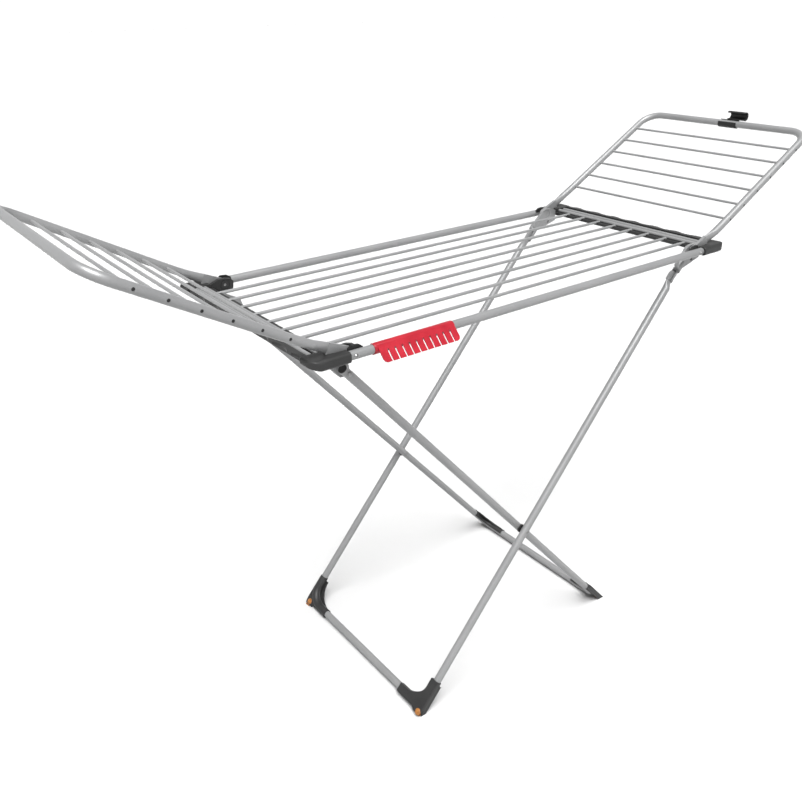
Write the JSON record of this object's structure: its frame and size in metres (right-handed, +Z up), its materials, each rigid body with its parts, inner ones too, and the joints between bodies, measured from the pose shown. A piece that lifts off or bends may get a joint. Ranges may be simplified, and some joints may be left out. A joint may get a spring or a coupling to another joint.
{
  "type": "clothes drying rack",
  "caption": "Freestanding folding rack with crossed tube legs, parallel drying rods and raised folding wings for hanging laundry to dry.",
  "frame": {"origin": "on the floor, under the middle of the rack", "axes": "+X along the rack towards the wing with the storage clip, +Y across the rack, +Z up"},
  "size_m": [1.9536, 0.5589, 1.2491],
  "materials": {
    "tube": "satin silver-grey powder paint",
    "rod": "satin silver-grey powder paint",
    "rivet": "dull plated steel",
    "dark_plastic": "fine-grained anthracite",
    "black_plastic": "fine-grained black",
    "comb": "smooth light red",
    "pad": "soft amber insert"
  },
  "bodies": {
    "comb_clip": {"comb_clip": "comb"},
    "frame": {"corner_cap_left_back": "dark_plastic", "corner_cap_left_front": "dark_plastic", "corner_cap_right_back": "dark_plastic", "corner_cap_right_front": "dark_plastic", "drying_rods": "rod", "end_bar_inner_left": "tube", "end_bar_inner_right": "tube", "end_bar_outer_left": "tube", "end_bar_outer_right": "tube", "hanger_strip_left": "dark_plastic", "hanger_strip_right": "dark_plastic", "hinge_boss_left_back": "dark_plastic", "hinge_boss_left_front": "dark_plastic", "leg_bracket_back": "dark_plastic", "leg_bracket_front": "dark_plastic", "leg_hinge_pins": "rivet", "leg_rest_right_back": "black_plastic", "leg_rest_right_front": "black_plastic", "leg_stub_right_back": "dark_plastic", "leg_stub_right_front": "dark_plastic", "side_rail_back": "tube", "side_rail_front": "tube", "stop_tab_left_back": "black_plastic", "stop_tab_left_front": "black_plastic", "stop_tab_right_back": "black_plastic", "stop_tab_right_front": "black_plastic", "wing_hinge_pins": "rivet"},
    "inner_legs": {"crossing_rivets": "rivet", "crossing_spacers": "black_plastic", "inner_foot_back": "dark_plastic", "inner_foot_front": "dark_plastic", "inner_foot_pads": "pad", "inner_leg_plugs": "black_plastic", "inner_leg_tube": "tube"},
    "outer_legs": {"outer_foot_back": "dark_plastic", "outer_foot_front": "dark_plastic", "outer_foot_pads": "pad", "outer_leg_tube": "tube"},
    "storage_clip": {"storage_clip": "black_plastic"},
    "wing_left": {"wing_rods_left": "rod", "wing_tube_left": "tube"},
    "wing_right": {"wing_rods_right": "rod", "wing_tube_right": "tube"}
  },
  "joints": [
    {"name": "leg_fold", "type": "hinge", "parent": "frame", "child": "inner_legs", "pos_m": [-0.503, 0, 0.9225], "axis": [0, -1, 0], "range_deg": [0, 45.8]},
    {"name": "leg_cross", "type": "hinge", "parent": "inner_legs", "child": "outer_legs", "pos_m": [-0.00965, 0, 0.3779], "axis": [0, -1, 0], "range_deg": [0, 78.3]},
    {"name": "wing_right_fold", "type": "hinge", "parent": "frame", "child": "wing_right", "pos_m": [0.515, 0, 0.9755], "axis": [0, -1, 0], "range_deg": [0, 140]},
    {"name": "wing_left_fold", "type": "hinge", "parent": "frame", "child": "wing_left", "pos_m": [-0.515, 0, 0.9755], "axis": [0, 1, 0], "range_deg": [0, 140]},
    {"name": "clip_turn", "type": "hinge", "parent": "wing_right", "child": "storage_clip", "pos_m": [0.96391, 0, 1.2148], "axis": [0, 1, 0], "range_deg": [-90, 90]},
    {"name": "comb_slide", "type": "slide", "parent": "frame", "child": "comb_clip", "axis": [1, 0, 0], "range_m": [-0.008, 0.76]}
  ],
  "couplings": [
    {"joint": "leg_cross", "follows": "leg_fold", "ratio": 1.7096}
  ]
}
